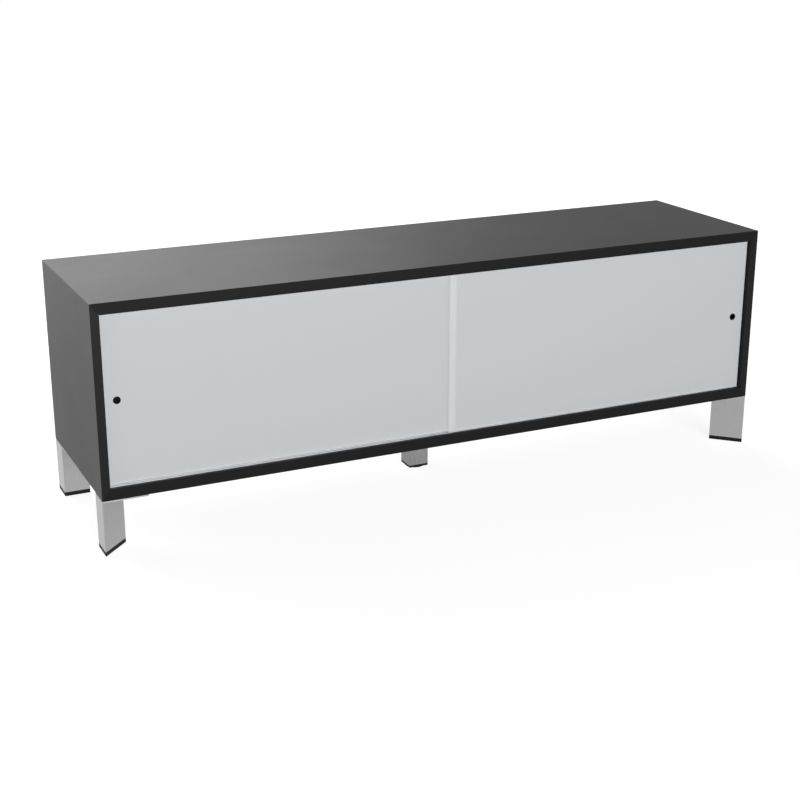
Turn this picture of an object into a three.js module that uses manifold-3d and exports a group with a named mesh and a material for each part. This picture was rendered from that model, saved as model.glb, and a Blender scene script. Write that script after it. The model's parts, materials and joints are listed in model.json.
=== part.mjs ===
import * as THREE from 'three';
import { mergeVertices } from 'three/addons/utils/BufferGeometryUtils.js';
import Module from 'manifold-3d';

const wasm = await Module();
wasm.setup();

// A low cabinet with two sliding glass doors on aluminium legs
// All lengths are millimetres: +X runs to the right along the front, +Y to the back, +Z up
// The origin lies on the floor under the middle of the cabinet

// Carcass of four mitred boards, and the panels inside it
const carcassWidth = 1650;
const carcassDepth = 432;
const carcassHeight = 425;
const topThickness = 25;
const bottomThickness = 25;
const sideThickness = 19;
const edgeEase = 0.8;
const cornerRadius = 1.5;
const mitreGlueLine = 0.3;
const backThickness = 8;
const backRebate = 9;
const partitionThickness = 19;
const partitionClearance = 5;

// Shelves and the brackets that carry them
const shelfThickness = 16;
const shelfHeight = 180;
const shelfSideClearance = 1;
const shelfBackClearance = 2;
const shelfSetback = 20;
const bracketInset = 50;
const bracketWidth = 10;
const bracketReach = 9;
const bracketDrop = 12;
const bracketThickness = 1.6;
const pegDiameter = 5;
const pegLength = 7;

// Glass doors with their finger grommets
const glassThickness = 5;
const glassArris = 0.5;
const glassCornerRadius = 2;
const doorOverlap = 22;
const doorEndGap = 1;
const fingerHoleInset = 29.5;
const fingerHoleHeight = 185;
const grommetBore = 12.5;
const grommetWall = 1;
const grommetLap = 0.7;
const grommetFlange = 1;

// Door tracks and the glides that run in them
const trackSetback = 10;
const trackWall = 1.5;
const trackBase = 1.2;
const sillLip = 1;
const lowerChannelDepth = 5.5;
const topEngagement = 5;
const liftOutMargin = 0.8;
const topSideGap = 0.75;
const runningGap = 0.3;
const glideWall = 0.9;
const glideFloor = 1.5;
const glideLength = 30;
const glideInset = 60;
const glideTopDrop = 0.6;

// Corner legs of triangular tube with their plates and foot pads
const legHeight = 125;
const legSide = 60;
const legWall = 3;
const legEdgeRadius = 1;
const legBoreRadius = 0.8;
const padThickness = 9.5;
const spigotHeight = 12;
const plateThickness = 3;
const plateLength = 100;
const plateCornerRadius = 1;
const plateScrewInset = 11;

// Centre leg of square tube with its plate, cap and levelling foot
const centreLegSide = 49;
const centreLegWall = 2.5;
const centrePlateSide = 90;
const centreCapThickness = 5.2;
const levellerDiameter = 46;
const levellerThickness = 2.2;
const levellerChamfer = 0.5;
const levellerStemDiameter = 8;
const levellerTravel = 10;

// Countersunk screws, which bite into a share of the bottom board
const screwShankDiameter = 4;
const screwHeadDiameter = 8;
const screwHeadRim = 0.4;
const screwTip = 3;
const screwBiteShare = 0.4;

// Clearance of pieces at their seats, overrun of the cuts, and facet counts
const seatGap = 0.3;
const cutOverrun = 2;
const curveSteps = 6;
const roundSteps = 16;
const grommetSteps = 32;

// Levels and planes that several pieces share
const frontY = -carcassDepth / 2;
const backY = carcassDepth / 2;
const sideX = carcassWidth / 2;
const jambX = sideX - sideThickness;
const undersideZ = legHeight;
const topZ = undersideZ + carcassHeight;
const floorZ = undersideZ + bottomThickness;
const lintelZ = topZ - topThickness;
const backPanelY = backY - backThickness;

// Both door planes lie in the middle of a channel, the front one first
const channelWidth = glassThickness + 2 * (seatGap + glideWall + runningGap);
const channelPitch = channelWidth + trackWall;
const doorPlanes = [trackWall + channelWidth / 2, trackWall + channelWidth / 2 + channelPitch];
const trackWidth = 2 * channelPitch + trackWall;
const trackY = frontY + trackSetback;
const trackEndX = jambX - seatGap;
const lowerTrackZ = floorZ + sillLip - lowerChannelDepth - trackBase;
const topChannelDepth = topEngagement + lowerChannelDepth + liftOutMargin;
const upperTrackZ = lintelZ + topChannelDepth + trackBase;
const partitionY = trackY + trackWidth + partitionClearance;

// The glass stands on its glides below and ends inside the upper channel
const glideZ = lowerTrackZ + trackBase + runningGap;
const glassBottomZ = glideZ + glideFloor + seatGap;
const glassHeight = lintelZ + topEngagement - glassBottomZ;
const doorWidth = jambX - doorEndGap + doorOverlap / 2;

// Heights in the legs, counted from the carcass down to the floor
const plateZ = undersideZ - seatGap - plateThickness;
const tubeTopZ = plateZ - seatGap;
const centreCapZ = levellerThickness + seatGap;
const screwLength = plateThickness + seatGap + bottomThickness * screwBiteShare;

// Finishes, one new material for each piece
const blackLacquer = () => new THREE.MeshStandardMaterial({ color: 0x262727, roughness: 0.38 });
const satinGlass = () => new THREE.MeshStandardMaterial({ color: 0xc5c9cc, roughness: 0.5 });
const blackPlastic = () => new THREE.MeshStandardMaterial({ color: 0x1e1f1f, roughness: 0.55 });
const whiteNylon = () => new THREE.MeshStandardMaterial({ color: 0xe4e3dd, roughness: 0.5 });
const satinAluminium = () => new THREE.MeshStandardMaterial({
  color: 0xb2b3b2,
  roughness: 0.42,
  metalness: 1,
});
const zincSteel = () => new THREE.MeshStandardMaterial({
  color: 0xa9abab,
  roughness: 0.35,
  metalness: 1,
});

// A closed geometry as a solid that can be cut and joined, and back again
function toSolid(geometry) {
  const bare = geometry.clone();
  bare.deleteAttribute('normal');
  bare.deleteAttribute('uv');
  const merged = mergeVertices(bare);
  return new wasm.Manifold(new wasm.Mesh({
    numProp: 3,
    vertProperties: merged.attributes.position.array,
    triVerts: Uint32Array.from(merged.index.array),
  }));
}

function toGeometry(solid) {
  const mesh = solid.getMesh();
  const geometry = new THREE.BufferGeometry();
  geometry.setAttribute('position', new THREE.BufferAttribute(mesh.vertProperties, 3));
  geometry.setIndex(new THREE.BufferAttribute(mesh.triVerts, 1));
  geometry.computeVertexNormals();
  return geometry;
}

function cutAway(geometry, cutters) {
  let solid = toSolid(geometry);
  for (const cutter of cutters) {
    solid = solid.subtract(toSolid(cutter));
  }
  return toGeometry(solid);
}

function joinUp(first, second) {
  return toGeometry(toSolid(first).add(toSolid(second)));
}

// A box between two opposite corners
function boxBetween([x0, y0, z0], [x1, y1, z1]) {
  const box = new THREE.BoxGeometry(x1 - x0, y1 - y0, z1 - z0);
  box.translate((x0 + x1) / 2, (y0 + y1) / 2, (z0 + z1) / 2);
  return box;
}

// Outlines with straight sides, with sharp or rounded corners
function sharpShape(points) {
  return new THREE.Shape(points.map(([x, y]) => new THREE.Vector2(x, y)));
}

function roundedShape(points, radius) {
  const corners = points.map(([x, y]) => new THREE.Vector2(x, y));
  const shape = new THREE.Shape();
  corners.forEach((corner, index) => {
    const toLast = corners.at(index - 1).clone().sub(corner).normalize();
    const toNext = corners[(index + 1) % corners.length].clone().sub(corner).normalize();
    const reach = radius / Math.tan(Math.acos(toLast.dot(toNext)) / 2);
    const start = corner.clone().addScaledVector(toLast, reach);
    const end = corner.clone().addScaledVector(toNext, reach);
    if (index === 0) {
      shape.moveTo(start.x, start.y);
    } else {
      shape.lineTo(start.x, start.y);
    }
    shape.quadraticCurveTo(corner.x, corner.y, end.x, end.y);
  });
  shape.closePath();
  return shape;
}

function rectanglePoints(x0, y0, x1, y1) {
  return [[x0, y0], [x1, y0], [x1, y1], [x0, y1]];
}

// Extrusions upward, along the length and from front to back
function extrudeUp(shape, bottom, height) {
  const geometry = new THREE.ExtrudeGeometry(shape, {
    depth: height,
    bevelEnabled: false,
    curveSegments: curveSteps,
  });
  return geometry.translate(0, 0, bottom);
}

function extrudeAlongLength(shape, length) {
  const geometry = new THREE.ExtrudeGeometry(shape, { depth: length, bevelEnabled: false });
  const alongX = new THREE.Matrix4().makeBasis(
    new THREE.Vector3(0, 1, 0),
    new THREE.Vector3(0, 0, 1),
    new THREE.Vector3(1, 0, 0),
  );
  return geometry.applyMatrix4(alongX).translate(-length / 2, 0, 0);
}

function extrudeToBack(shape, front, back, ease) {
  const geometry = new THREE.ExtrudeGeometry(shape, {
    depth: back - front - 2 * ease,
    bevelEnabled: ease > 0,
    bevelThickness: ease,
    bevelSize: ease,
    bevelOffset: -ease,
    bevelSegments: 2,
    curveSegments: curveSteps,
  });
  const alongY = new THREE.Matrix4().makeBasis(
    new THREE.Vector3(1, 0, 0),
    new THREE.Vector3(0, 0, 1),
    new THREE.Vector3(0, -1, 0),
  );
  return geometry.applyMatrix4(alongY).translate(0, back - ease, 0);
}

// A turned piece that stands on its axis along Z
function turnUpright(profile, steps) {
  const points = profile.map(([radius, height]) => new THREE.Vector2(radius, height));
  return new THREE.LatheGeometry(points, steps).rotateX(Math.PI / 2);
}

function addPiece(group, name, geometry, material) {
  const piece = new THREE.Mesh(geometry, material);
  piece.name = name;
  group.add(piece);
  return piece;
}

// Countersunk screw, head down, with its head flush at the lower face of its plate
function screwGeometry(growth) {
  const headRadius = screwHeadDiameter / 2 + growth;
  const shankRadius = screwShankDiameter / 2 + growth;
  const coneTop = screwHeadRim + headRadius - shankRadius;
  return turnUpright([
    [0, -growth],
    [headRadius, -growth],
    [headRadius, screwHeadRim],
    [shankRadius, coneTop],
    [shankRadius, screwLength - screwTip],
    [0, screwLength + growth],
  ], roundSteps);
}

function screwCutters(places) {
  return places.map(([x, y]) => screwGeometry(seatGap).translate(x, y, plateZ));
}

// Corner legs: signs of each corner, and whether its plate lies along the length
const legCorners = [
  { name: 'front_left', side: -1, end: -1, alongLength: true },
  { name: 'front_right', side: 1, end: -1, alongLength: false },
  { name: 'back_right', side: 1, end: 1, alongLength: true },
  { name: 'back_left', side: -1, end: 1, alongLength: false },
];

// A place counted inward from the corner's two outer faces
function inwardFrom(corner, alongX, alongY) {
  return [corner.side * (sideX - alongX), corner.end * (backY - alongY)];
}

function plateScrewPlaces(corner) {
  const near = plateScrewInset;
  const wide = legSide - plateScrewInset;
  const far = plateLength - plateScrewInset;
  const outerPair = corner.alongLength ? [[far, near], [far, wide]] : [[near, far], [wide, far]];
  return [[wide, near], ...outerPair].map(([x, y]) => inwardFrom(corner, x, y));
}

function centreScrewPlaces() {
  const reach = centrePlateSide / 2 - plateScrewInset;
  return rectanglePoints(-reach, -reach, reach, reach);
}

// The right-angled triangle of a corner leg, drawn in by an inset on all three sides
// Its points run anticlockwise at every corner
function legTriangle(corner, inset, radius) {
  const slantInset = inset * (1 + Math.SQRT2);
  const points = [
    inwardFrom(corner, inset, slantInset),
    inwardFrom(corner, inset, legSide - inset),
    inwardFrom(corner, legSide - slantInset, legSide - inset),
  ];
  return roundedShape(corner.side === corner.end ? points.reverse() : points, radius);
}

function centreSquare(inset, radius) {
  const half = centreLegSide / 2 - inset;
  return roundedShape(rectanglePoints(-half, -half, half, half), radius);
}

function tubeGeometry(outer, bore, bottom) {
  outer.holes.push(bore);
  return extrudeUp(outer, bottom, tubeTopZ - bottom);
}

// Four boards cut from one eased frame along mitres from outer to inner corner
function buildCarcassBoards(group) {
  const frame = roundedShape(rectanglePoints(-sideX, undersideZ, sideX, topZ), cornerRadius);
  frame.holes.push(sharpShape(rectanglePoints(-jambX, floorZ, jambX, lintelZ)));
  const frameSolid = toSolid(extrudeToBack(frame, frontY, backY, edgeEase));
  const rebate = boxBetween(
    [-jambX - backRebate, backPanelY - seatGap, floorZ - backRebate],
    [jambX + backRebate, backY + cutOverrun, lintelZ + backRebate],
  );
  const cutBoard = (outline, cutters) => {
    const wedge = extrudeToBack(sharpShape(outline), frontY - cutOverrun, backY + cutOverrun, 0);
    const board = toGeometry(frameSolid.intersect(toSolid(wedge)));
    return cutAway(board, [rebate, ...cutters]);
  };
  const flatBoard = (innerZ, outerZ) => {
    const past = outerZ - innerZ;
    const inner = jambX - sideThickness - mitreGlueLine;
    const outer = sideX + sideThickness - mitreGlueLine;
    return [
      [-inner, innerZ - past],
      [inner, innerZ - past],
      [outer, outerZ + past],
      [-outer, outerZ + past],
    ];
  };
  const sideBoard = (side) => [
    [side * (sideX + sideThickness), undersideZ - bottomThickness],
    [side * (sideX + sideThickness), topZ + topThickness],
    [side * (jambX - sideThickness), lintelZ - topThickness],
    [side * (jambX - sideThickness), floorZ + bottomThickness],
  ];
  const lowerGroove = boxBetween(
    [-jambX, trackY - seatGap, lowerTrackZ - seatGap],
    [jambX, trackY + trackWidth + seatGap, floorZ + cutOverrun],
  );
  const upperGroove = boxBetween(
    [-jambX, trackY - seatGap, lintelZ - cutOverrun],
    [jambX, trackY + trackWidth + seatGap, upperTrackZ + seatGap],
  );
  const screwPlaces = [...legCorners.flatMap(plateScrewPlaces), ...centreScrewPlaces()];
  const bottomCutters = [lowerGroove, ...screwCutters(screwPlaces)];
  addPiece(group, 'top_panel', cutBoard(flatBoard(lintelZ, topZ), [upperGroove]), blackLacquer());
  addPiece(group, 'bottom_panel', cutBoard(flatBoard(floorZ, undersideZ), bottomCutters), blackLacquer());
  addPiece(group, 'left_side_panel', cutBoard(sideBoard(-1), pegHoles(-jambX, -1)), blackLacquer());
  addPiece(group, 'right_side_panel', cutBoard(sideBoard(1), pegHoles(jambX, 1)), blackLacquer());
}

function buildBackAndPartition(group) {
  const backReach = backRebate - seatGap;
  const back = boxBetween(
    [-jambX - backReach, backPanelY, floorZ - backReach],
    [jambX + backReach, backY, lintelZ + backReach],
  );
  const halfPartition = partitionThickness / 2;
  const partition = boxBetween(
    [-halfPartition, partitionY, floorZ + seatGap],
    [halfPartition, backPanelY - seatGap, lintelZ - seatGap],
  );
  const holes = [...pegHoles(-halfPartition, 1), ...pegHoles(halfPartition, -1)];
  addPiece(group, 'back_panel', back, blackLacquer());
  addPiece(group, 'centre_partition', cutAway(partition, holes), blackLacquer());
}

// Shelves, one in each bay, on four brackets whose pegs stand in blind holes
const shelfY = partitionY + shelfSetback;
const shelfBackY = backPanelY - shelfBackClearance;
const shelfZ = floorZ + shelfHeight;
const bracketTopZ = shelfZ - seatGap;
const pegZ = bracketTopZ - bracketDrop / 2;
const bracketRows = [shelfY + bracketInset, shelfBackY - bracketInset];

// Blind holes into the board that lies on the given side of a wall face
function pegHoles(wallX, side) {
  const depth = pegLength + seatGap;
  return bracketRows.map((y) => {
    const radius = pegDiameter / 2 + seatGap;
    const hole = new THREE.CylinderGeometry(radius, radius, depth + cutOverrun, roundSteps);
    hole.rotateZ(Math.PI / 2);
    return hole.translate(wallX + side * (depth - cutOverrun) / 2, y, pegZ);
  });
}

function bracketGeometry() {
  const angle = sharpShape([
    [seatGap, 0],
    [bracketReach, 0],
    [bracketReach, -bracketThickness],
    [seatGap + bracketThickness, -bracketThickness],
    [seatGap + bracketThickness, -bracketDrop],
    [seatGap, -bracketDrop],
  ]);
  const tongue = extrudeToBack(angle, -bracketWidth / 2, bracketWidth / 2, 0);
  const radius = pegDiameter / 2;
  const length = pegLength + seatGap + bracketThickness / 2;
  const peg = new THREE.CylinderGeometry(radius, radius, length, roundSteps);
  peg.rotateZ(Math.PI / 2);
  peg.translate(length / 2 - pegLength, 0, pegZ - bracketTopZ);
  return joinUp(tongue, peg);
}

function buildShelves(group) {
  const innerX = partitionThickness / 2;
  for (const [name, side] of [['left', -1], ['right', 1]]) {
    const edges = [side * (innerX + shelfSideClearance), side * (jambX - shelfSideClearance)];
    const shelf = boxBetween(
      [Math.min(...edges), shelfY, shelfZ],
      [Math.max(...edges), shelfBackY, shelfZ + shelfThickness],
    );
    addPiece(group, `${name}_shelf`, shelf, blackLacquer());
    const walls = [['outer', side * jambX, side], ['inner', side * innerX, -side]];
    for (const [wallName, wallX, wallSide] of walls) {
      bracketRows.forEach((y, row) => {
        const place = `${name}_shelf_bracket_${wallName}_${row === 0 ? 'front' : 'back'}`;
        const bracket = addPiece(group, place, bracketGeometry(), zincSteel());
        bracket.position.set(wallX, y, bracketTopZ);
        bracket.rotation.z = wallSide > 0 ? Math.PI : 0;
      });
    }
  }
}

// Double-channel tracks, let into the boards, with the same section turned over above
function trackSection(channel, depth, up) {
  const height = trackBase + depth;
  const points = [[0, 0], [0, height]];
  for (const plane of doorPlanes) {
    points.push([plane - channel / 2, height], [plane - channel / 2, trackBase]);
    points.push([plane + channel / 2, trackBase], [plane + channel / 2, height]);
  }
  points.push([trackWidth, height], [trackWidth, 0]);
  return sharpShape(points.map(([y, z]) => [y, up * z]));
}

function buildTracks(group) {
  const lowerSection = trackSection(channelWidth, lowerChannelDepth, 1);
  const lower = extrudeAlongLength(lowerSection, 2 * trackEndX);
  addPiece(group, 'lower_track', lower, satinAluminium()).position.set(0, trackY, lowerTrackZ);
  const upperSection = trackSection(glassThickness + 2 * topSideGap, topChannelDepth, -1);
  const upper = extrudeAlongLength(upperSection, 2 * trackEndX);
  addPiece(group, 'upper_track', upper, satinAluminium()).position.set(0, trackY, upperTrackZ);
}

// Glass door with a finger hole near its outer edge, a grommet in it and two glides
function glassGeometry(side, holeX, holeZ) {
  const outline = rectanglePoints(-doorWidth / 2, 0, doorWidth / 2, glassHeight);
  const pane = roundedShape(outline, glassCornerRadius);
  const hole = new THREE.Path();
  hole.absarc(holeX, holeZ, grommetBore / 2 + grommetWall + seatGap, 0, 2 * Math.PI, false);
  pane.holes.push(hole);
  return extrudeToBack(pane, -glassThickness / 2, glassThickness / 2, glassArris);
}

function grommetGeometry() {
  const bore = grommetBore / 2;
  const sleeve = bore + grommetWall;
  const rim = sleeve + seatGap + grommetLap;
  const inside = glassThickness / 2 + seatGap;
  const outside = inside + grommetFlange;
  const round = grommetFlange / 2;
  const profile = [
    [bore, round - outside],
    [bore + round, -outside],
    [rim - round, -outside],
    [rim, round - outside],
    [rim, -inside],
    [sleeve, -inside],
    [sleeve, inside],
    [rim, inside],
    [rim, outside - round],
    [rim - round, outside],
    [bore + round, outside],
    [bore, outside - round],
    [bore, round - outside],
  ];
  const points = profile.map(([radius, depth]) => new THREE.Vector2(radius, depth));
  return new THREE.LatheGeometry(points, grommetSteps);
}

function glideGeometry() {
  const slot = glassThickness / 2 + seatGap;
  const outside = slot + glideWall;
  const height = lowerChannelDepth - runningGap - glideTopDrop;
  const section = sharpShape([
    [-outside, 0],
    [outside, 0],
    [outside, height],
    [slot, height],
    [slot, glideFloor],
    [-slot, glideFloor],
    [-slot, height],
    [-outside, height],
  ]);
  return extrudeAlongLength(section, glideLength);
}

function buildDoor(name, side, plane) {
  const door = new THREE.Group();
  door.position.set(side * (jambX - doorEndGap - doorWidth / 2), trackY + plane, glassBottomZ);
  const holeX = side * (doorWidth / 2 - fingerHoleInset);
  const holeZ = floorZ + fingerHoleHeight - glassBottomZ;
  addPiece(door, `${name}_door_glass`, glassGeometry(side, holeX, holeZ), satinGlass());
  const grommet = addPiece(door, `${name}_finger_grommet`, grommetGeometry(), blackPlastic());
  grommet.position.set(holeX, 0, holeZ);
  const glideX = doorWidth / 2 - glideInset;
  for (const [end, x] of [['left', -glideX], ['right', glideX]]) {
    const glide = addPiece(door, `${name}_door_glide_${end}`, glideGeometry(), whiteNylon());
    glide.position.set(x, 0, glideZ - glassBottomZ);
  }
  return door;
}

// Corner leg: closed triangular tube, screwed plate above, plugged foot pad below
function buildCornerLeg(group, corner) {
  const bore = legTriangle(corner, legWall, legBoreRadius);
  const tubeBottomZ = padThickness + seatGap;
  const tube = tubeGeometry(legTriangle(corner, 0, legEdgeRadius), bore, tubeBottomZ);
  addPiece(group, `${corner.name}_leg`, tube, satinAluminium());
  const pad = extrudeUp(legTriangle(corner, 0, legEdgeRadius), 0, padThickness);
  const plug = legTriangle(corner, legWall + seatGap, legEdgeRadius);
  const spigot = extrudeUp(plug, padThickness / 2, padThickness / 2 + spigotHeight);
  addPiece(group, `${corner.name}_foot_pad`, joinUp(pad, spigot), blackPlastic());
  const reach = corner.alongLength ? [plateLength, legSide] : [legSide, plateLength];
  const ends = [inwardFrom(corner, 0, 0), inwardFrom(corner, ...reach)].flat();
  const outline = roundedShape(rectanglePoints(...ends), plateCornerRadius);
  const places = plateScrewPlaces(corner);
  const plate = cutAway(extrudeUp(outline, plateZ, plateThickness), screwCutters(places));
  addPiece(group, `${corner.name}_leg_plate`, plate, satinAluminium());
  addScrews(group, `${corner.name}_plate_screw`, places);
}

function addScrews(group, name, places) {
  places.forEach(([x, y], index) => {
    const screw = addPiece(group, `${name}_${index + 1}`, screwGeometry(0), zincSteel());
    screw.position.set(x, y, plateZ);
  });
}

// Centre leg: square tube with a cap that holds the stem of the levelling foot
function buildCentreLeg(group) {
  const tubeBottomZ = centreCapZ + centreCapThickness + seatGap;
  const bore = centreSquare(centreLegWall, legBoreRadius);
  const tube = tubeGeometry(centreSquare(0, legEdgeRadius), bore, tubeBottomZ);
  addPiece(group, 'centre_leg', tube, satinAluminium());
  const half = centrePlateSide / 2;
  const outline = roundedShape(rectanglePoints(-half, -half, half, half), plateCornerRadius);
  const places = centreScrewPlaces();
  const plate = cutAway(extrudeUp(outline, plateZ, plateThickness), screwCutters(places));
  addPiece(group, 'centre_leg_plate', plate, satinAluminium());
  addScrews(group, 'centre_plate_screw', places);
  const capHeight = centreCapThickness + spigotHeight;
  const brim = extrudeUp(centreSquare(0, legEdgeRadius), centreCapZ, centreCapThickness);
  const plug = centreSquare(centreLegWall + seatGap, legEdgeRadius);
  const spigot = extrudeUp(plug, centreCapZ + centreCapThickness / 2, capHeight - centreCapThickness / 2);
  const radius = levellerStemDiameter / 2 + seatGap;
  const thread = turnUpright([
    [0, centreCapZ - cutOverrun],
    [radius, centreCapZ - cutOverrun],
    [radius, centreCapZ + capHeight + cutOverrun],
    [0, centreCapZ + capHeight + cutOverrun],
  ], roundSteps);
  addPiece(group, 'centre_leg_cap', cutAway(joinUp(brim, spigot), [thread]), blackPlastic());
}

function levellerGeometry() {
  const rim = levellerDiameter / 2;
  const stem = levellerStemDiameter / 2;
  const stemTop = centreCapZ + centreCapThickness + spigotHeight + levellerTravel;
  return turnUpright([
    [0, 0],
    [rim - levellerChamfer, 0],
    [rim, levellerChamfer],
    [rim, levellerThickness - levellerChamfer],
    [rim - levellerChamfer, levellerThickness],
    [stem, levellerThickness],
    [stem, stemTop],
    [0, stemTop],
  ], grommetSteps);
}

// The whole cabinet, with both doors closed
const cabinet = new THREE.Group();
const carcass = new THREE.Group();
buildCarcassBoards(carcass);
buildBackAndPartition(carcass);
buildShelves(carcass);
buildTracks(carcass);
legCorners.forEach((corner) => buildCornerLeg(carcass, corner));
buildCentreLeg(carcass);
cabinet.add(carcass);
cabinet.add(buildDoor('right', 1, doorPlanes[0]));
cabinet.add(buildDoor('left', -1, doorPlanes[1]));
addPiece(cabinet, 'centre_leveller', levellerGeometry(), blackPlastic());

export default cabinet;
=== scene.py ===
import json
import math

import bmesh
import bpy
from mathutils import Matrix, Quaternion, Vector

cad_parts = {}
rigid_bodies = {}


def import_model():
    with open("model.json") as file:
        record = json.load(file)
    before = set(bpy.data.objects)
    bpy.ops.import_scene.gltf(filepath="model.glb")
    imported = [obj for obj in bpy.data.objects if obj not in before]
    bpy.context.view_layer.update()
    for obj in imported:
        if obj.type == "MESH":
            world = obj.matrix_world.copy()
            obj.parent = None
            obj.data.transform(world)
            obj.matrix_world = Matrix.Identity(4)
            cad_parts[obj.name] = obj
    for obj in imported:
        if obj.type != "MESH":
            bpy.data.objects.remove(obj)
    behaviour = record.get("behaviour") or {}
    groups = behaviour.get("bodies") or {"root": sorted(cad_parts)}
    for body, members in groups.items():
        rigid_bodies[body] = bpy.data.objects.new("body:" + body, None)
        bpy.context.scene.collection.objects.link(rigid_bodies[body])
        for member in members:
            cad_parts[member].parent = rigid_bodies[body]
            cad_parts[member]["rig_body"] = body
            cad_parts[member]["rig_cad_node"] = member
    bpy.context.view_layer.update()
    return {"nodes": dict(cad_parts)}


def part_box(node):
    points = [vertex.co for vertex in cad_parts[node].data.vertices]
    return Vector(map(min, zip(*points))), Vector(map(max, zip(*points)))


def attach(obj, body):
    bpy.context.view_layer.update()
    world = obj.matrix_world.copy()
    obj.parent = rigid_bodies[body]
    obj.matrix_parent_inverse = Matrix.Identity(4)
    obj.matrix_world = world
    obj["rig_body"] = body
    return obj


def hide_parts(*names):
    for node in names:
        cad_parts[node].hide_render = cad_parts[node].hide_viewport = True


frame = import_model()
nodes = frame["nodes"]
bpy.ops.object.select_all(action="DESELECT")


# The camera stands where the photograph was taken: left of the middle, 1.3 m up, looking a little down.
# The lens is worked out from the focal length in pixels of the square 800 pixel frame.
photo_pixels = 800
focal_pixels = 1483.086
sensor_width = 36.0
camera_place = Vector((-1.4785, -3.0684, 1.3096))
camera_look = Vector((0.40260152, 0.85825634, -0.3182893))
camera_data = bpy.data.cameras.new("photo_camera")
camera_data.sensor_width = sensor_width
camera_data.lens = sensor_width * focal_pixels / photo_pixels
camera = bpy.data.objects.new("photo_camera", camera_data)
camera.location = camera_place
camera.rotation_euler = camera_look.to_track_quat("-Z", "Y").to_euler()
bpy.context.scene.collection.objects.link(camera)
bpy.context.scene.camera = camera


# The carcass: four boards of fine fibreboard, mitred and glued into a frame, sprayed with black satin
# lacquer. It dries with a faint orange peel, a little glossier on the upright boards, where it flows
# out, and the outer edges are rubbed from handling.
lacquer_colour = (0.0037, 0.0038, 0.0038, 1.0)
rubbed_lacquer_colour = (0.021, 0.021, 0.0205, 1.0)
lacquer_roughness = 0.48
lacquer_ior = 1.21
upright_roughness = 0.415
upright_ior = 1.25
lacquer_roughness_spread = 0.02
lacquer_cloud_size = 0.16
lacquer_peel_size = 0.0045
lacquer_peel_height = 0.000004
rub_width = 0.0016
rub_patch_size = 0.012
rub_patch_start = 0.42
rub_patch_full = 0.62
clouds_least = 0.35
clouds_most = 0.65


def new_finish(name, colour, roughness, metallic=0.0, ior=1.5):
    """A material whose shader has these numbers. A pattern may still vary its colour and roughness."""
    finish = bpy.data.materials.new(name)
    finish.use_nodes = True
    shader = finish.node_tree.nodes["Principled BSDF"]
    shader.inputs["Base Color"].default_value = colour
    shader.inputs["Roughness"].default_value = roughness
    shader.inputs["Metallic"].default_value = metallic
    shader.inputs["IOR"].default_value = ior
    return finish, shader


def add_node(finish, kind, inputs, **settings):
    """A node in a finish. Each input, by its name or place, is a number to set or a socket to link."""
    node = finish.node_tree.nodes.new("ShaderNode" + kind)
    for setting, value in settings.items():
        setattr(node, setting, value)
    for place, value in inputs.items():
        if isinstance(value, bpy.types.NodeSocket):
            finish.node_tree.links.new(value, node.inputs[place])
        else:
            node.inputs[place].default_value = value
    return node


def vary(finish, shader, patterns):
    """Lets patterns drive the shader's inputs, each found by the input's name."""
    for place, pattern in patterns.items():
        finish.node_tree.links.new(pattern, shader.inputs[place])


def place_on_object(finish, stretch=(1.0, 1.0, 1.0)):
    """Where a point is on the object, in metres, times the stretch."""
    place = add_node(finish, "TexCoord", {}).outputs["Object"]
    return add_node(finish, "Mapping", {"Vector": place, "Scale": stretch}).outputs["Vector"]


def clouds(finish, place, size, detail=3.0):
    """A soft random pattern from 0 to 1 whose blotches are about that size, in metres."""
    inputs = {"Vector": place, "Scale": 1.0 / size, "Detail": detail}
    return add_node(finish, "TexNoise", inputs).outputs["Fac"]


def between(finish, value, low, high, start=clouds_least, end=clouds_most):
    """Turns a value that runs from start to end into one that runs from low to high."""
    inputs = {"Value": value, "From Min": start, "From Max": end, "To Min": low, "To Max": high}
    return add_node(finish, "MapRange", inputs).outputs["Result"]


def blended(finish, share, first, second):
    """The first colour where the share is 0 and the second where it is 1, at the Mix node's own places."""
    inputs = {0: share, 6: first, 7: second}
    return add_node(finish, "Mix", inputs, data_type="RGBA").outputs[2]


def relief(finish, height, depth):
    """A normal for a surface whose height, from 0 to 1, stands for that depth in metres."""
    inputs = {"Height": height, "Strength": 1.0, "Distance": depth}
    return add_node(finish, "Bump", inputs).outputs["Normal"]


def multiplied(finish, first, second):
    """Two values multiplied."""
    return add_node(finish, "Math", {0: first, 1: second}, operation="MULTIPLY").outputs["Value"]


def near_box_edges(finish, low, high, width):
    """1 along the edges of a box, falling to 0 a width away from them."""
    middle = (low + high) / 2
    flat_reach = (high - low) / 2 - Vector((width, width, width))
    value = add_node(finish, "TexCoord", {}).outputs["Object"]
    steps = [
        ("SUBTRACT", middle),
        ("ABSOLUTE", None),
        ("SUBTRACT", flat_reach),
        ("DIVIDE", (width, width, width)),
        ("MAXIMUM", (0.0, 0.0, 0.0)),
        ("MINIMUM", (1.0, 1.0, 1.0)),
    ]
    for operation, amount in steps:
        inputs = {0: value} if amount is None else {0: value, 1: amount}
        value = add_node(finish, "VectorMath", inputs, operation=operation).outputs["Vector"]
    inputs = {0: value, 1: (1.0, 1.0, 1.0)}
    faces_near = add_node(finish, "VectorMath", inputs, operation="DOT_PRODUCT").outputs["Value"]
    inputs = {0: faces_near, 1: 1.0}
    return add_node(finish, "Math", inputs, operation="SUBTRACT", use_clamp=True).outputs["Value"]


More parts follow.
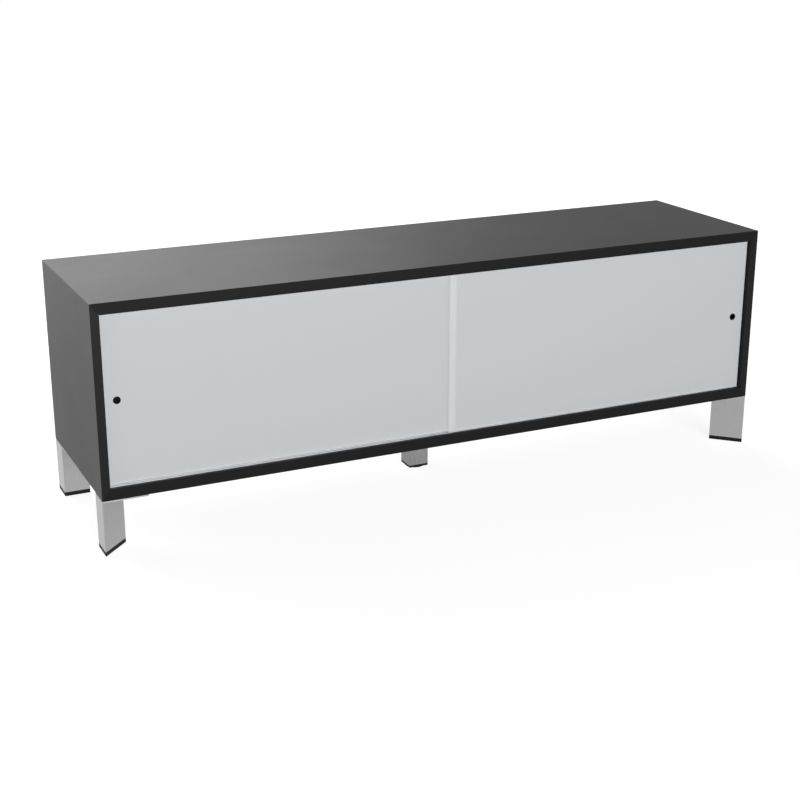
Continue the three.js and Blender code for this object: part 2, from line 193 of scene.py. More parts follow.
def black_lacquer(name, low, high, low_roughness=lacquer_roughness, ior=lacquer_ior):
    """Black satin lacquer, rubbed along the edges of the box that it covers."""
    finish, shader = new_finish(name, lacquer_colour, low_roughness, ior=ior)
    place = place_on_object(finish)
    rub_patches = clouds(finish, place, rub_patch_size)
    rub_patches = between(finish, rub_patches, 0.0, 1.0, rub_patch_start, rub_patch_full)
    rub = multiplied(finish, near_box_edges(finish, low, high, rub_width), rub_patches)
    colour = blended(finish, rub, lacquer_colour, rubbed_lacquer_colour)
    cloudy = clouds(finish, place, lacquer_cloud_size)
    roughness = between(finish, cloudy, low_roughness, low_roughness + lacquer_roughness_spread)
    normal = relief(finish, clouds(finish, place, lacquer_peel_size, detail=2.0), lacquer_peel_height)
    vary(finish, shader, {"Base Color": colour, "Roughness": roughness, "Normal": normal})
    return finish


def give_finish(finish, *names):
    """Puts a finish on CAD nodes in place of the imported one."""
    for name in names:
        nodes[name].data.materials.clear()
        nodes[name].data.materials.append(finish)


carcass_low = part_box("left_side_panel")[0]
carcass_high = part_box("right_side_panel")[1]
carcass_low.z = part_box("bottom_panel")[0].z
carcass_high.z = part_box("top_panel")[1].z
flat_lacquer = black_lacquer("flat_lacquer", carcass_low, carcass_high)
upright_lacquer = black_lacquer(
    "upright_lacquer", carcass_low, carcass_high, upright_roughness, upright_ior
)
give_finish(flat_lacquer, "top_panel", "bottom_panel")
give_finish(upright_lacquer, "left_side_panel", "right_side_panel")


# The back panel: 8 mm hardboard, painted black on both faces and let into the rebate of the boards.
# Its paint is flatter than the lacquer, and the pressed fibres show through it.
paint_colour = (0.0045, 0.0045, 0.0045, 1.0)
paint_worn_colour = (0.007, 0.007, 0.0068, 1.0)
paint_roughness = (0.56, 0.68)
paint_ior = 1.2
paint_patch_size = 0.09
fibre_stretch = (0.35, 1.0, 1.0)
fibre_size = 0.0018
fibre_height = 0.00003
back_paint, paint_shader = new_finish("back_paint", paint_colour, paint_roughness[0], ior=paint_ior)
fibres = clouds(back_paint, place_on_object(back_paint, fibre_stretch), fibre_size, detail=4.0)
paint_patches = clouds(back_paint, place_on_object(back_paint), paint_patch_size)
paint_patterns = {
    "Base Color": blended(back_paint, paint_patches, paint_colour, paint_worn_colour),
    "Roughness": between(back_paint, fibres, *paint_roughness),
    "Normal": relief(back_paint, fibres, fibre_height),
}
vary(back_paint, paint_shader, paint_patterns)
give_finish(back_paint, "back_panel")


# The centre partition and the two shelves: lacquered like the carcass. Each shelf rests loose on four
# brackets, so its own edges are rubbed where it is lifted in and out.
for board in ("centre_partition", "left_shelf", "right_shelf"):
    board_low, board_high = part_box(board)
    give_finish(black_lacquer(board + "_lacquer", board_low, board_high), board)


# The shelf brackets: eight strips of zinc-plated steel, each bent to an angle round a small radius,
# with a round peg riveted through its back that goes into the hole in the board.
zinc_colour = (0.60, 0.61, 0.62, 1.0)
zinc_dull_colour = (0.47, 0.48, 0.49, 1.0)
zinc_roughness = (0.30, 0.45)
zinc_cloud_size = 0.004
scratch_stretch = (1.0, 1.0, 6.0)
scratch_size = 0.0012
scratch_height = 0.000006
bracket_thickness = 0.0016
bend_radius = 0.001
bend_steps = 6
peg_radius = 0.0025
peg_sides = 32
peg_end_bevel = 0.0006
soft_edge_steps = 3
wall_clearance = 0.0003
same_place = 0.00001
merge_distance = 0.000001
squarely = 0.9
smooth_angle = math.radians(35)


def bright_zinc(name):
    """Bright zinc plating on steel, clouded by handling, with the fine scratches of the plating drum."""
    finish, shader = new_finish(name, zinc_colour, zinc_roughness[0], metallic=1.0)
    place = place_on_object(finish)
    scratches = clouds(finish, place_on_object(finish, scratch_stretch), scratch_size, detail=4.0)
    colour = blended(finish, clouds(finish, place, zinc_cloud_size), zinc_colour, zinc_dull_colour)
    roughness = between(finish, scratches, *zinc_roughness)
    normal = relief(finish, scratches, scratch_height)
    vary(finish, shader, {"Base Color": colour, "Roughness": roughness, "Normal": normal})
    return finish


def start_piece(name):
    """Names the primitive just added, and puts its place and turn into its mesh."""
    piece = bpy.context.active_object
    piece.name = name
    piece.data.name = name
    bpy.ops.object.transform_apply(location=True, rotation=True, scale=True)
    bpy.ops.object.mode_set(mode="EDIT")
    return piece


def start_block(name, low, high):
    """A block between two corners, in edit mode, to be shaped further."""
    bpy.ops.mesh.primitive_cube_add(size=1.0, location=(low + high) / 2)
    bpy.context.active_object.scale = high - low
    return start_piece(name)


def pick(piece, kind, wanted):
    """In edit mode, selects only the vertices, edges or faces that wanted says yes to."""
    bpy.ops.mesh.select_mode(type=kind)
    bpy.ops.mesh.select_all(action="DESELECT")
    shape = bmesh.from_edit_mesh(piece.data)
    elements = {"VERT": shape.verts, "EDGE": shape.edges, "FACE": shape.faces}[kind]
    for element in elements:
        element.select_set(bool(wanted(element)))
    bmesh.update_edit_mesh(piece.data)


def middle_of(element):
    """The middle of an edge or face."""
    places = [corner.co for corner in element.verts]
    return sum(places, Vector()) / len(places)


def close_shape():
    """Merges doubles, turns the faces outward, and leaves edit mode."""
    bpy.ops.mesh.select_all(action="SELECT")
    bpy.ops.mesh.remove_doubles(threshold=merge_distance)
    bpy.ops.mesh.normals_make_consistent(inside=False)
    bpy.ops.object.mode_set(mode="OBJECT")


def change_by(piece, other, operation):
    """Joins the other solid to the piece, or cuts it away, and removes the other."""
    change = piece.modifiers.new("change", "BOOLEAN")
    change.operation = operation
    change.solver = "EXACT"
    change.object = other
    bpy.context.view_layer.objects.active = piece
    bpy.ops.object.modifier_apply(modifier=change.name)
    bpy.data.objects.remove(other)


def finish_piece(piece, finish):
    """Smooths the rounded faces, keeps the flat ones flat beside them, and puts on the finish."""
    bpy.ops.object.select_all(action="DESELECT")
    piece.select_set(True)
    bpy.context.view_layer.objects.active = piece
    bpy.ops.object.shade_smooth_by_angle(angle=smooth_angle)
    bpy.ops.object.select_all(action="DESELECT")
    flatten = piece.modifiers.new("flatten", "WEIGHTED_NORMAL")
    flatten.keep_sharp = True
    bpy.ops.object.modifier_apply(modifier=flatten.name)
    piece.data.materials.clear()
    piece.data.materials.append(finish)


def stand_for(piece, node, body="carcass"):
    """The piece stands for a CAD node, which it hides, and moves with its body."""
    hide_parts(node)
    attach(piece, body)


def copy_of(piece, name):
    """A copy with its own mesh."""
    copy = piece.copy()
    copy.data = piece.data.copy()
    copy.name = name
    copy.data.name = name
    bpy.context.scene.collection.objects.link(copy)
    return copy


def moved_to_box(piece, node):
    """Moves the piece's mesh so that its lowest corner lies where the node's does."""
    lowest = Vector([min(vertex.co[axis] for vertex in piece.data.vertices) for axis in range(3)])
    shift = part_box(node)[0] - lowest
    for vertex in piece.data.vertices:
        vertex.co += shift
    return piece


def mirrored_in_x(piece):
    """Turns the piece's mesh into its mirror image left to right."""
    for vertex in piece.data.vertices:
        vertex.co.x = -vertex.co.x
    piece.data.flip_normals()
    return piece


angle_low, angle_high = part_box("left_shelf_bracket_outer_front")
wall_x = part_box("left_side_panel")[1].x
angle_middle = (angle_low + angle_high) / 2
angle_low.x = wall_x + wall_clearance
bend_inside = Vector((angle_low.x + bracket_thickness, 0, angle_high.z - bracket_thickness))
upright_high = Vector((bend_inside.x, angle_high.y, angle_high.z))
bracket = start_block("shelf_bracket", angle_low, upright_high)
bpy.ops.mesh.select_all(action="SELECT")
bpy.ops.mesh.bisect(plane_co=bend_inside, plane_no=(0, 0, 1))
pick(bracket, "FACE", lambda face: face.normal.x > squarely and middle_of(face).z > bend_inside.z)
bpy.ops.mesh.extrude_region_move(TRANSFORM_OT_translate={"value": (angle_high.x - bend_inside.x, 0, 0)})
outer_bend = Vector((angle_low.x, angle_middle.y, angle_high.z))
pick(bracket, "EDGE", lambda edge: (middle_of(edge) - outer_bend).length < same_place)
bpy.ops.mesh.bevel(offset=bend_radius + bracket_thickness, segments=bend_steps, affect="EDGES")
inner_bend = Vector((bend_inside.x, angle_middle.y, bend_inside.z))
pick(bracket, "EDGE", lambda edge: (middle_of(edge) - inner_bend).length < same_place)
bpy.ops.mesh.bevel(offset=bend_radius, segments=bend_steps, affect="EDGES")
close_shape()
peg_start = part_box("left_shelf_bracket_outer_front")[0].x
peg_end = angle_low.x + bracket_thickness / 2
peg_z = (angle_low.z + bend_inside.z) / 2
bpy.ops.mesh.primitive_cylinder_add(
    vertices=peg_sides,
    radius=peg_radius,
    depth=peg_end - peg_start,
    location=((peg_start + peg_end) / 2, angle_middle.y, peg_z),
    rotation=(0, math.pi / 2, 0),
)
peg = start_piece("bracket_peg")
pick(peg, "FACE", lambda face: face.normal.x < -squarely)
bpy.ops.mesh.bevel(offset=peg_end_bevel, segments=soft_edge_steps, affect="EDGES")
close_shape()
change_by(bracket, peg, "UNION")
bracket_mirrored = mirrored_in_x(copy_of(bracket, "shelf_bracket_mirrored"))
bracket_zinc = bright_zinc("bracket_zinc")
finish_piece(bracket, bracket_zinc)
finish_piece(bracket_mirrored, bracket_zinc)
for bay in ("left", "right"):
    for wall in ("outer", "inner"):
        points_right = (bay == "left") == (wall == "outer")
        for row in ("front", "back"):
            node = f"{bay}_shelf_bracket_{wall}_{row}"
            pattern = bracket if points_right else bracket_mirrored
            piece = moved_to_box(copy_of(pattern, node + "_bent"), node)
            stand_for(piece, node)
bpy.data.objects.remove(bracket)
bpy.data.objects.remove(bracket_mirrored)


# The two tracks: bright aluminium extrusions with a channel for each door, pressed into grooves in the
# boards. The upper one is deeper, so that a door can be lifted into it and out of the lower one.
bright_aluminium_colour = (0.79, 0.80, 0.81, 1.0)
track_roughness = (0.34, 0.46)
track_brushing = (0.01, 1.0, 1.0)
brushing_size = 0.0003
brushing_height = 0.0000006
brushing_patch_size = 0.02
brushing_share = 0.045


def satin_aluminium(name, colour, stretch, low_roughness, high_roughness):
    """Aluminium, brushed along the direction of the small stretch and anodised."""
    finish, shader = new_finish(name, colour, low_roughness, metallic=1.0)
    lines = clouds(finish, place_on_object(finish, stretch), brushing_size, detail=2.0)
    patches = clouds(finish, place_on_object(finish), brushing_patch_size)
    lighter_colour = tuple(Vector(colour[:3]) * (1.0 + brushing_share)) + (1.0,)
    colour = blended(finish, multiplied(finish, lines, patches), colour, lighter_colour)
    roughness = between(finish, lines, low_roughness, high_roughness)
    normal = relief(finish, lines, brushing_height)
    vary(finish, shader, {"Base Color": colour, "Roughness": roughness, "Normal": normal})
    return finish


track_aluminium = satin_aluminium(
    "track_aluminium", bright_aluminium_colour, track_brushing, *track_roughness
)
give_finish(track_aluminium, "lower_track", "upper_track")


# The doors: 5 mm float glass with rounded corners, ground all round, drilled for the finger hole and etched
# satin on the front face. Little can be seen through the etching, but most of the light soaks through it,
# so the black inside dims it, and it is lighter where one door lies behind the other.
etched_colour = (0.580, 0.605, 0.626, 1.0)
etched_opacity = 0.86
etched_shade = 0.05
etched_gloss = 0.25
etched_roughness = (0.46, 0.56)
etched_grain_size = 0.0007
etched_grain_height = 0.000004
glass_sheen_colour = (0.60, 0.64, 0.66, 1.0)
glass_sheen = 0.012
glass_gloss = 1.0
glass_roughness = (0.38, 0.42)
glass_haze_size = 0.3
glass_edge_colour = (0.76, 0.80, 0.80, 1.0)
glass_edge_opacity = 0.008
glass_edge_roughness = (0.32, 0.5)
grinding_stretch = (1.0, 0.2, 1.0)
grinding_size = 0.0004
grinding_height = 0.00001
glass_corner_radius = 0.002
glass_corner_steps = 6
glass_arris = 0.0005
finger_hole_radius = 0.00755
finger_hole_sides = 96
corner_angle = math.radians(50)


def corner_edge(edge):
    """Whether two faces meet at an edge at more than the least angle of a corner."""
    return len(edge.link_faces) == 2 and edge.calc_face_angle() > corner_angle


def front_to_back(edge):
    """How far an edge runs from front to back."""
    return abs(edge.verts[0].co.y - edge.verts[1].co.y)


def seen_not_lit(finish):
    """1 for a ray from the camera or off or through a glossy surface, and 0 for one that carries light."""
    path = add_node(finish, "LightPath", {})
    seen = path.outputs["Is Camera Ray"]
    for ray in ("Is Glossy Ray", "Is Transmission Ray"):
        inputs = {0: seen, 1: path.outputs[ray]}
        seen = add_node(finish, "Math", inputs, operation="MAXIMUM").outputs["Value"]
    return seen


etched_face, etched_shader = new_finish("etched_glass_face", etched_colour, etched_roughness[0])
etched_shader.inputs["Specular IOR Level"].default_value = etched_gloss
etched_seen = seen_not_lit(etched_face)
etched_grain = clouds(etched_face, place_on_object(etched_face), etched_grain_size, detail=2.0)
etched_patterns = {
    "Alpha": between(etched_face, etched_seen, etched_shade, etched_opacity, 0.0, 1.0),
    "Roughness": between(etched_face, etched_grain, *etched_roughness),
    "Normal": relief(etched_face, etched_grain, etched_grain_height),
}
vary(etched_face, etched_shader, etched_patterns)

glass_face, face_shader = new_finish("clear_glass_face", glass_sheen_colour, glass_roughness[0])
face_shader.inputs["Alpha"].default_value = glass_sheen
face_shader.inputs["Specular IOR Level"].default_value = glass_gloss
face_haze = clouds(glass_face, place_on_object(glass_face), glass_haze_size)
vary(glass_face, face_shader, {"Roughness": between(glass_face, face_haze, *glass_roughness)})

ground_edge, edge_shader = new_finish("ground_glass_edge", glass_edge_colour, glass_edge_roughness[0])
edge_shader.inputs["Alpha"].default_value = glass_edge_opacity
edge_grind = clouds(ground_edge, place_on_object(ground_edge, grinding_stretch), grinding_size)
edge_patterns = {
    "Roughness": between(ground_edge, edge_grind, *glass_edge_roughness),
    "Normal": relief(ground_edge, edge_grind, grinding_height),
}
vary(ground_edge, edge_shader, edge_patterns)

pane_finishes = (glass_face, etched_face, ground_edge)
for side in ("left", "right"):
    pane_low, pane_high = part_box(side + "_door_glass")
    pane = start_block(side + "_door_pane", pane_low, pane_high)
    pick(pane, "EDGE", lambda edge: front_to_back(edge) > same_place)
    bpy.ops.mesh.bevel(offset=glass_corner_radius, segments=glass_corner_steps, affect="EDGES")
    close_shape()
    hole_low, hole_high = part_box(side + "_finger_grommet")
    bpy.ops.mesh.primitive_cylinder_add(
        vertices=finger_hole_sides,
        radius=finger_hole_radius,
        depth=2 * (pane_high.y - pane_low.y),
        location=(hole_low + hole_high) / 2,
        rotation=(math.pi / 2, 0, 0),
    )
    drill = start_piece("glass_drill")
    close_shape()
    change_by(pane, drill, "DIFFERENCE")
    bpy.ops.object.mode_set(mode="EDIT")
    pick(pane, "EDGE", lambda edge: corner_edge(edge) and front_to_back(edge) < same_place)
    bpy.ops.mesh.bevel(offset=glass_arris, segments=1, affect="EDGES")
    close_shape()
    finish_piece(pane, glass_face)
    for finish in pane_finishes[1:]:
        pane.data.materials.append(finish)
    for face in pane.data.polygons:
        if face.normal.y < -squarely:
            face.material_index = pane_finishes.index(etched_face)
        elif face.normal.y < squarely:
            face.material_index = pane_finishes.index(ground_edge)
    stand_for(pane, side + "_door_glass", side + "_door")


# The finger grommets: two rings of black plastic, moulded as a sleeve with a lip at each end, that snap
# into the hole in the glass so that the door can be slid with a fingertip.
plastic_colour = (0.0045, 0.0045, 0.0047, 1.0)
plastic_worn_colour = (0.009, 0.009, 0.009, 1.0)
plastic_roughness = (0.42, 0.58)
plastic_ior = 1.2
plastic_patch_size = 0.008
plastic_grain_size = 0.0006
plastic_grain_height = 0.00001
grommet_sides = 96
grommet_bore_radius = 0.00625
grommet_sleeve_radius = 0.00725
grommet_lip_depth = 0.001
grommet_lip_bevel = 0.0004


def black_plastic(name):
    """Moulded black plastic with the fine sparked grain of its mould."""
    finish, shader = new_finish(name, plastic_colour, plastic_roughness[0], ior=plastic_ior)
    place = place_on_object(finish)
    grain = clouds(finish, place, plastic_grain_size)
    wear = clouds(finish, place, plastic_patch_size)
    colour = blended(finish, wear, plastic_colour, plastic_worn_colour)
    roughness = between(finish, grain, *plastic_roughness)
    normal = relief(finish, grain, plastic_grain_height)
    vary(finish, shader, {"Base Color": colour, "Roughness": roughness, "Normal": normal})
    return finish


ring_low, ring_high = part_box("left_finger_grommet")
ring_middle = (ring_low + ring_high) / 2
lip_radius = (ring_high.x - ring_low.x) / 2


def lip_rim(edge):
    """Whether an edge runs round the rim or the bore on one of the grommet's two end faces."""
    first, second = [corner.co - ring_middle for corner in edge.verts]
    on_end_face = abs(abs(first.y) - (ring_high.y - ring_middle.y)) < same_place
    runs_round = abs(first.length - second.length) < same_place
    return on_end_face and runs_round and front_to_back(edge) < same_place


def sleeve_wall(face):
    """Whether a face lies on the outside of the grommet, between its two lips."""
    from_middle = middle_of(face) - ring_middle
    return abs(from_middle.y) < grommet_lip_depth and from_middle.length > grommet_sleeve_radius


bpy.ops.mesh.primitive_cylinder_add(
    vertices=grommet_sides,
    radius=lip_radius,
    depth=ring_high.y - ring_low.y,
    location=ring_middle,
    rotation=(math.pi / 2, 0, 0),
)
grommet = start_piece("grommet")
for lip_inside in (ring_low.y + grommet_lip_depth, ring_high.y - grommet_lip_depth):
    bpy.ops.mesh.select_all(action="SELECT")
    bpy.ops.mesh.bisect(plane_co=(0, lip_inside, 0), plane_no=(0, 1, 0))
pick(grommet, "FACE", lambda face: abs(face.normal.y) > squarely)
bpy.ops.mesh.inset(thickness=lip_radius - grommet_bore_radius, depth=0.0)
bpy.ops.mesh.delete(type="FACE")
pick(grommet, "EDGE", lambda edge: edge.is_boundary)
bpy.ops.mesh.bridge_edge_loops()
pick(grommet, "FACE", sleeve_wall)
bpy.ops.mesh.extrude_region_move(TRANSFORM_OT_translate={"value": (0, 0, 0)})
sleeve_share = grommet_sleeve_radius / lip_radius
bpy.ops.transform.resize(value=(sleeve_share, 1, sleeve_share), center_override=ring_middle)
pick(grommet, "EDGE", lip_rim)
bpy.ops.mesh.bevel(offset=grommet_lip_bevel, segments=soft_edge_steps, affect="EDGES")
close_shape()
finish_piece(grommet, black_plastic("grommet_plastic"))
for side in ("left", "right"):
    node = side + "_finger_grommet"
    stand_for(moved_to_box(copy_of(grommet, node + "_ring"), node), node, side + "_door")
bpy.data.objects.remove(grommet)


# The door glides: four channels of natural nylon, pushed up over the lower edge of the glass, that carry
# the doors in the lower track. They are moulded, with the edges at both ends rounded.
nylon_colour = (0.78, 0.77, 0.73, 1.0)
nylon_worn_colour = (0.66, 0.65, 0.61, 1.0)
nylon_roughness = (0.38, 0.52)
nylon_milkiness = 0.2
nylon_milky_depth = 0.001
scuff_stretch = (0.15, 1.0, 1.0)
scuff_size = 0.001
glide_bevel = 0.0004
flat_angle = math.radians(1)


def softened_copy(node, name, bevel, wanted):
    """A copy of a CAD node's solid, made whole, with the wanted edges rounded off."""
    piece = copy_of(nodes[node], name)
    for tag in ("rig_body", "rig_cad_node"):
        if tag in piece:
            del piece[tag]
    piece.parent = None
    bpy.context.view_layer.objects.active = piece
    bpy.ops.object.mode_set(mode="EDIT")
    bpy.ops.mesh.select_all(action="SELECT")
    bpy.ops.mesh.remove_doubles(threshold=merge_distance)
    bpy.ops.mesh.dissolve_limited(angle_limit=flat_angle)
    pick(piece, "EDGE", wanted)
    bpy.ops.mesh.bevel(offset=bevel, segments=soft_edge_steps, affect="EDGES", clamp_overlap=True)
    close_shape()
    return piece


nylon, nylon_shader = new_finish("natural_nylon", nylon_colour, nylon_roughness[0])
nylon_shader.inputs["Subsurface Weight"].default_value = nylon_milkiness
nylon_shader.inputs["Subsurface Scale"].default_value = nylon_milky_depth
nylon_scuffs = clouds(nylon, place_on_object(nylon, scuff_stretch), scuff_size, detail=4.0)
nylon_patterns = {
    "Base Color": blended(nylon, nylon_scuffs, nylon_colour, nylon_worn_colour),
    "Roughness": between(nylon, nylon_scuffs, *nylon_roughness),
}
vary(nylon, nylon_shader, nylon_patterns)
for side in ("left", "right"):
    for end in ("left", "right"):
        node = f"{side}_door_glide_{end}"
        glide_ends = (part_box(node)[0].x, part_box(node)[1].x)
        glide = softened_copy(
            node,
            node + "_moulded",
            glide_bevel,
            lambda edge: corner_edge(edge)
            and min(abs(middle_of(edge).x - glide_end) for glide_end in glide_ends) < same_place,
        )
        finish_piece(glide, nylon)
        stand_for(glide, node, side + "_door")


# The corner legs: four lengths of triangular aluminium tube, with one side flush with the end of the cabinet
# and the slanted side turned to the front or the back. They are brushed along their length and anodised a
# satin a little greyer than the tracks.
corners = ("front_left", "front_right", "back_right", "back_left")
anodised_colour = (0.372, 0.375, 0.373, 1.0)
leg_roughness = (0.24, 0.36)
leg_brushing = (1.0, 1.0, 0.01)
leg_aluminium = satin_aluminium("leg_aluminium", anodised_colour, leg_brushing, *leg_roughness)
give_finish(leg_aluminium, *[corner + "_leg" for corner in corners])


# The foot pads: black plastic plugs, moulded with a spigot that is driven up into the tube, and rounded
# along the sole so that they don't catch when the cabinet is pushed.
sole_bevel = 0.0005
pad_plastic = black_plastic("pad_plastic")
for corner in corners:
    node = corner + "_foot_pad"
    pad = softened_copy(
        node, node + "_moulded", sole_bevel, lambda edge: corner_edge(edge) and middle_of(edge).z < same_place
    )
    finish_piece(pad, pad_plastic)
    stand_for(pad, node)


# The mounting plates: five aluminium plates, 3 mm thick, cut with rounded corners and countersunk holes,
# one on top of each leg, and brushed along the length of the cabinet before they are anodised like the legs.
plate_roughness = (0.36, 0.48)
plate_brushing = (0.04, 1.0, 1.0)
plate_aluminium = satin_aluminium("plate_aluminium", anodised_colour, plate_brushing, *plate_roughness)
give_finish(plate_aluminium, "centre_leg_plate", *[corner + "_leg_plate" for corner in corners])


# The plate screws: sixteen zinc-plated countersunk wood screws with a cross recess in the head, driven
# up through the plates into the bottom board.
screw_sides = 32
screw_rim = 0.0004
screw_shank_radius = 0.002
screw_tip = 0.003
screw_tip_share = 0.1
recess_length = 0.0046
recess_width = 0.0011
recess_depth = 0.0018
recess_taper = 0.45
screw_low, screw_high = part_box("front_left_plate_screw_1")
screw_middle = (screw_low + screw_high) / 2
head_radius = (screw_high.x - screw_low.x) / 2
head_place = Vector((screw_middle.x, screw_middle.y, screw_low.z))
bpy.ops.mesh.primitive_cylinder_add(
    vertices=screw_sides,
    radius=head_radius,
    depth=screw_rim,
    location=head_place + Vector((0, 0, screw_rim / 2)),
)
screw = start_piece("plate_screw")
pick(screw, "FACE", lambda face: face.normal.z > squarely)
cone_height = head_radius - screw_shank_radius
straight_height = screw_high.z - screw_low.z - screw_rim - cone_height - screw_tip
screw_steps = (
    (cone_height, screw_shank_radius / head_radius),
    (straight_height, 1.0),
    (screw_tip, screw_tip_share),
)
for rise, share in screw_steps:
    bpy.ops.mesh.extrude_region_move(TRANSFORM_OT_translate={"value": (0, 0, rise)})
    bpy.ops.transform.resize(value=(share, share, 1), center_override=head_place)
close_shape()
recess_arms = (
    Vector((recess_length / 2, recess_width / 2, recess_depth)),
    Vector((recess_width / 2, recess_length / 2, recess_depth)),
)
for arm_reach in recess_arms:
    recess_arm = start_block("recess_arm", head_place - arm_reach, head_place + arm_reach)
    pick(recess_arm, "FACE", lambda face: face.normal.z > squarely)
    bpy.ops.transform.resize(value=(recess_taper, recess_taper, 1), center_override=head_place)
    close_shape()
    change_by(screw, recess_arm, "DIFFERENCE")
finish_piece(screw, bright_zinc("screw_zinc"))
screw_nodes = [f"{corner}_plate_screw_{count}" for corner in corners for count in (1, 2, 3)]
screw_nodes += [f"centre_plate_screw_{count}" for count in (1, 2, 3, 4)]
for node in screw_nodes:
    stand_for(moved_to_box(copy_of(screw, node + "_cross"), node), node)
bpy.data.objects.remove(screw)


# The centre leg: a square aluminium tube under the middle of the bottom board, which keeps the long board
# from sagging, and a black plastic cap in its lower end that holds the stem of the levelling foot.
stem_bore_reach = 0.01
give_finish(leg_aluminium, "centre_leg")
cap_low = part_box("centre_leg_cap")[0].z


def cap_sole_edge(edge):
    """Whether an edge runs round the sole of the cap, and not round the bore for the stem."""
    place = middle_of(edge)
    outside_bore = max(abs(place.x), abs(place.y)) > stem_bore_reach
    return corner_edge(edge) and place.z < cap_low + same_place and outside_bore


cap = softened_copy("centre_leg_cap", "centre_leg_cap_moulded", sole_bevel, cap_sole_edge)
finish_piece(cap, pad_plastic)
stand_for(cap, "centre_leg_cap")


# The levelling foot: a black plastic disc with a fluted rim, moulded in one with its threaded stem, and
# turned by hand under the centre leg until it takes up the slack to the floor.
foot_thickness = 0.0022
rim_bevel = 0.0004
flute_count = 36
flute_parts = 4
flute_sunk_parts = (0, 1)
flute_depth = 0.0006
stem_sides = 24
stem_radius = 0.004
thread_root_radius = 0.0034
thread_pitch = 0.00125
foot_low, foot_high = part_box("centre_leveller")
foot_radius = (foot_high.x - foot_low.x) / 2
foot_middle = (foot_low + foot_high) / 2
foot_base = Vector((foot_middle.x, foot_middle.y, foot_low.z))
foot_centre = foot_base + Vector((0, 0, foot_thickness / 2))
bpy.ops.mesh.primitive_cylinder_add(
    vertices=flute_count * flute_parts, radius=foot_radius, depth=foot_thickness, location=foot_centre
)
foot = start_piece("levelling_foot")


def flute_part(face):
    """Which part of a flute a face of the rim lies in, counted round the foot."""
    place = middle_of(face) - foot_base
    turn = math.atan2(place.y, place.x) % (2 * math.pi)
    return int(turn / (2 * math.pi) * flute_count * flute_parts) % flute_parts


pick(foot, "FACE", lambda face: abs(face.normal.z) < squarely and flute_part(face) in flute_sunk_parts)
bpy.ops.mesh.inset(thickness=0.0, depth=0.0)
flute_share = 1 - flute_depth / foot_radius
bpy.ops.transform.resize(value=(flute_share, flute_share, 1), center_override=foot_base)
pick(foot, "FACE", lambda face: abs(face.normal.z) > squarely)
bpy.ops.mesh.bevel(offset=rim_bevel, segments=soft_edge_steps, affect="EDGES")
close_shape()
bpy.ops.mesh.primitive_circle_add(vertices=stem_sides, radius=thread_root_radius, location=foot_centre)
stem = start_piece("foot_stem")
bpy.ops.mesh.select_all(action="SELECT")
bpy.ops.mesh.edge_face_add()
thread_turns = int((foot_high.z - foot_thickness) / thread_pitch)
plain_rise = foot_high.z - foot_thickness / 2 - thread_turns * thread_pitch
root_share = stem_radius / thread_root_radius
stem_steps = [(plain_rise, 1.0)]
stem_steps += [(thread_pitch / 2, root_share), (thread_pitch / 2, 1 / root_share)] * thread_turns
for rise, share in stem_steps:
    bpy.ops.mesh.extrude_region_move(TRANSFORM_OT_translate={"value": (0, 0, rise)})
    bpy.ops.transform.resize(value=(share, share, 1), center_override=foot_base)
close_shape()
change_by(foot, stem, "UNION")
finish_piece(foot, black_plastic("foot_plastic"))
stand_for(foot, "centre_leveller", "leveller")


# The floor: a plain pale studio floor that runs out of the picture. It keeps a faint shadow of the cabinet
# near its feet, and its glow is painted brighter farther out, to the white of the surround: painted light
# where the lamps fall off. Metal and lacquer mirror it with a painted shade, its glow painted darker under
# the middle of the cabinet.
white = (1.0, 1.0, 1.0, 1.0)
floor_reach = 30.0
floor_roughness = 0.9
floor_colour = (0.5, 0.5, 0.5, 1.0)
floor_seen_colour = (0.35, 0.35, 0.35, 1.0)
# Painted light: the glow the camera sees rises from the near to the far reach, where the lamps fall off.
floor_near_glow = 0.86
floor_far_glow = 0.98
floor_near_reach = 1.0
floor_far_reach = 3.5
floor_mirrored_colour = (0.2, 0.2, 0.2, 1.0)
# Painted shade: the glow that metal and lacquer mirror is darker near the middle, under the cabinet.
floor_painted_shade_glow = 0.46
floor_mirrored_glow = 0.84
floor_painted_shade_reach = 0.1
floor_mirrored_reach = 0.6
bpy.ops.mesh.primitive_plane_add(size=2 * floor_reach)
floor = bpy.context.active_object
floor.name = "studio_floor"
floor_finish, floor_shader = new_finish("floor_white", floor_colour, floor_roughness)
floor_shader.inputs["Specular IOR Level"].default_value = 0.0
floor_shader.inputs["Emission Color"].default_value = white
floor_seen = seen_not_lit(floor_finish)
camera_ray = add_node(floor_finish, "LightPath", {}).outputs["Is Camera Ray"]
floor_place = place_on_object(floor_finish)
floor_reached = add_node(floor_finish, "VectorMath", {0: floor_place}, operation="LENGTH").outputs["Value"]
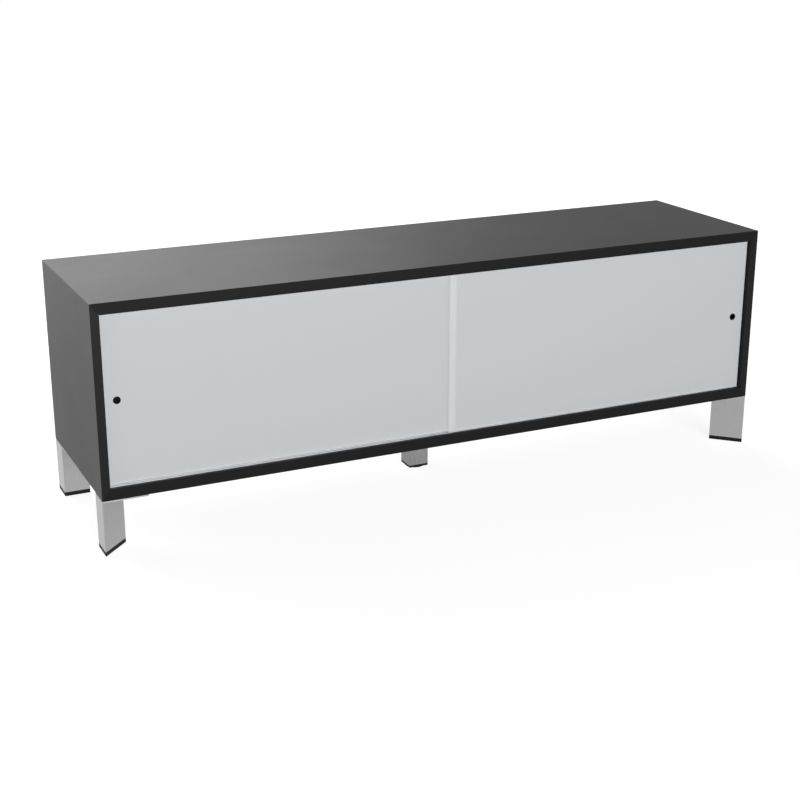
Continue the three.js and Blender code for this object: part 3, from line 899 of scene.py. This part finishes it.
camera_glow = between(
    floor_finish, floor_reached, floor_near_glow, floor_far_glow, floor_near_reach, floor_far_reach
)
# The mirrored glow carries the painted shade under the cabinet.
mirrored_glow = between(
    floor_finish,
    floor_reached,
    floor_painted_shade_glow,
    floor_mirrored_glow,
    floor_painted_shade_reach,
    floor_mirrored_reach,
)
seen_glow = between(floor_finish, camera_ray, mirrored_glow, camera_glow, 0.0, 1.0)
seen_colour = blended(floor_finish, camera_ray, floor_mirrored_colour, floor_seen_colour)
floor_patterns = {
    "Emission Strength": multiplied(floor_finish, floor_seen, seen_glow),
    "Base Color": blended(floor_finish, floor_seen, floor_colour, seen_colour),
}
vary(floor_finish, floor_shader, floor_patterns)
floor.data.materials.append(floor_finish)


# The studio light: a white surround that is dimmer as light than it is seen, a wide soft box well out in
# front, and a larger one behind the left end, tipped sideways, which draws the fading reflection along the
# black top.
surround_level = 0.1
world = bpy.data.worlds.new("studio")
bpy.context.scene.world = world
world.use_nodes = True
surround = world.node_tree.nodes["Background"]
surround.inputs["Color"].default_value = white
lift = multiplied(world, seen_not_lit(world), 1.0 - surround_level)
level = add_node(world, "Math", {0: lift, 1: surround_level}, operation="ADD").outputs["Value"]
vary(world, surround, {"Strength": level})


def soft_box(name, place, aim, width, height, power, roll=0.0):
    """A rectangular soft box that faces a point, and that the camera itself doesn't see."""
    light = bpy.data.lights.new(name, "AREA")
    light.shape = "RECTANGLE"
    light.size = width
    light.size_y = height
    light.energy = power
    box = bpy.data.objects.new(name, light)
    box.location = place
    facing = (Vector(aim) - Vector(place)).to_track_quat("-Z", "Y")
    box.rotation_euler = (facing @ Quaternion((0.0, 0.0, 1.0), roll)).to_euler()
    box.visible_camera = False
    bpy.context.scene.collection.objects.link(box)


soft_box(
    "front_soft_box",
    place=(-0.3, -6.5, 1.4),
    aim=(0.0, 0.0, 0.3),
    width=4.6,
    height=2.0,
    power=410.0,
)
soft_box(
    "back_soft_box",
    place=(-1.9, 3.4, 1.7),
    aim=(-0.8, 0.0, 0.4),
    width=8.0,
    height=2.6,
    power=272.0,
    roll=-0.45,
)
bpy.context.scene.view_settings.view_transform = "Standard"
